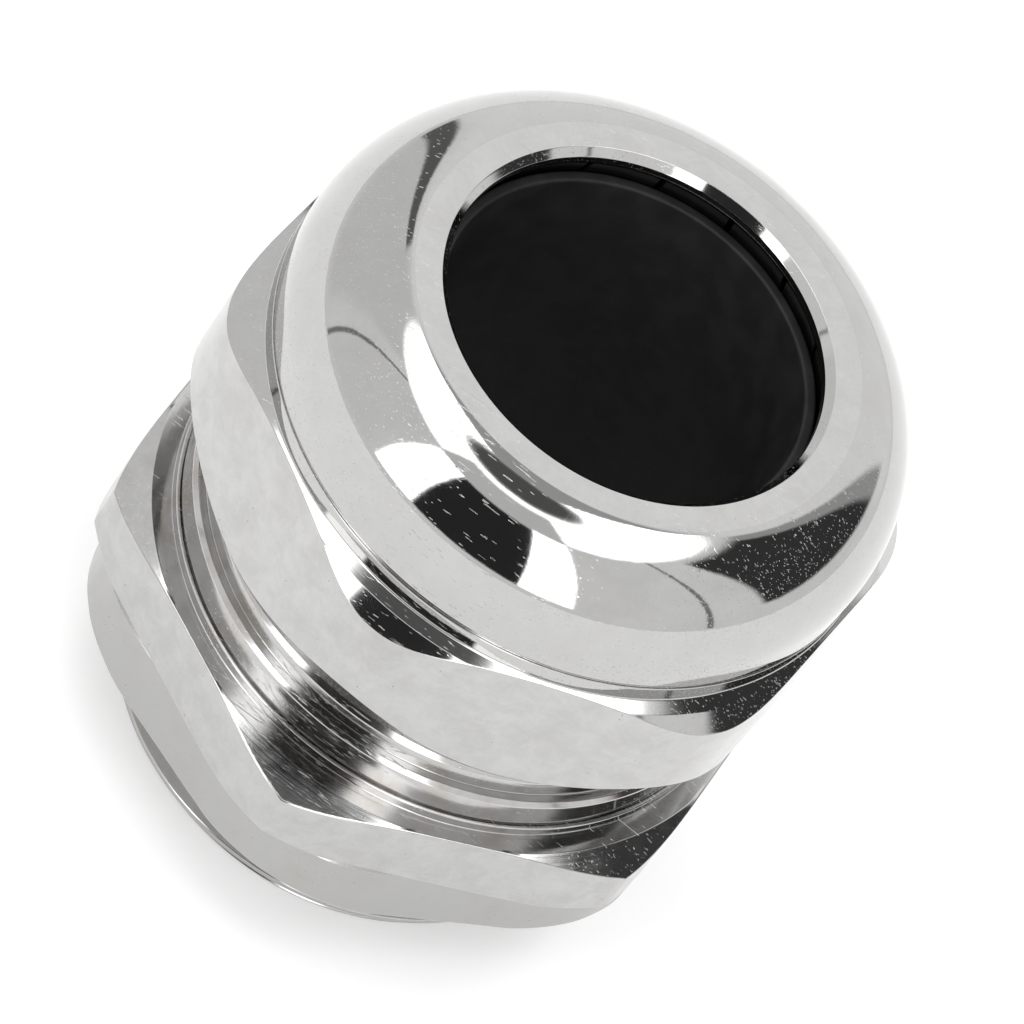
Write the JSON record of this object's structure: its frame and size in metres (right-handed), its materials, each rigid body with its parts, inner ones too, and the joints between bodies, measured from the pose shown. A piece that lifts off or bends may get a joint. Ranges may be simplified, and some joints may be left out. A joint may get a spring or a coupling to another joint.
{
  "type": "cable gland",
  "caption": "Metric cable gland: hexagonal body and domed nut in plated brass, fingered clamp and rubber seal round the cable, entry thread with locknut.",
  "frame": {"origin": "centre of the entry thread's end face, the lowest point", "axes": "+Z along the cable axis, from the entry thread to the domed nut; corners of the body's hexagon on +Y and -Y"},
  "size_m": [0.031, 0.034, 0.0326],
  "materials": {
    "nickel_plated_brass": "bright nickel plate over turned and milled brass",
    "black_nylon": "glossy moulded nylon",
    "black_rubber": "matte moulded rubber"
  },
  "bodies": {
    "gland_body": {"gland_body": "nickel_plated_brass"},
    "clamp": {"clamping_claw": "black_nylon", "seal_insert": "black_rubber"},
    "dome_nut": {"dome_nut": "nickel_plated_brass"},
    "o_ring": {"flange_o_ring": "black_rubber"},
    "locknut": {"locknut": "nickel_plated_brass"}
  },
  "joints": [
    {"name": "clamp_lift", "type": "slide", "parent": "gland_body", "child": "clamp", "axis": [0, 0, 1], "range_m": [0, 0.0073]},
    {"name": "nut_turn", "type": "hinge", "parent": "clamp", "child": "dome_nut", "pos_m": [0, 0, 0.0256], "axis": [0, 0, 1], "range_deg": [0, 1740]},
    {"name": "o_ring_slide", "type": "slide", "parent": "gland_body", "child": "o_ring", "axis": [0, 0, -1], "range_m": [0, 0.0049]},
    {"name": "locknut_turn", "type": "hinge", "parent": "o_ring", "child": "locknut", "pos_m": [0, 0, 0.007], "axis": [0, 0, -1], "range_deg": [0, 1170]}
  ],
  "couplings": [
    {"joint": "clamp_lift", "follows": "nut_turn", "m_per_rad": 0.00023873},
    {"joint": "o_ring_slide", "follows": "locknut_turn", "m_per_rad": 0.00023873}
  ]
}
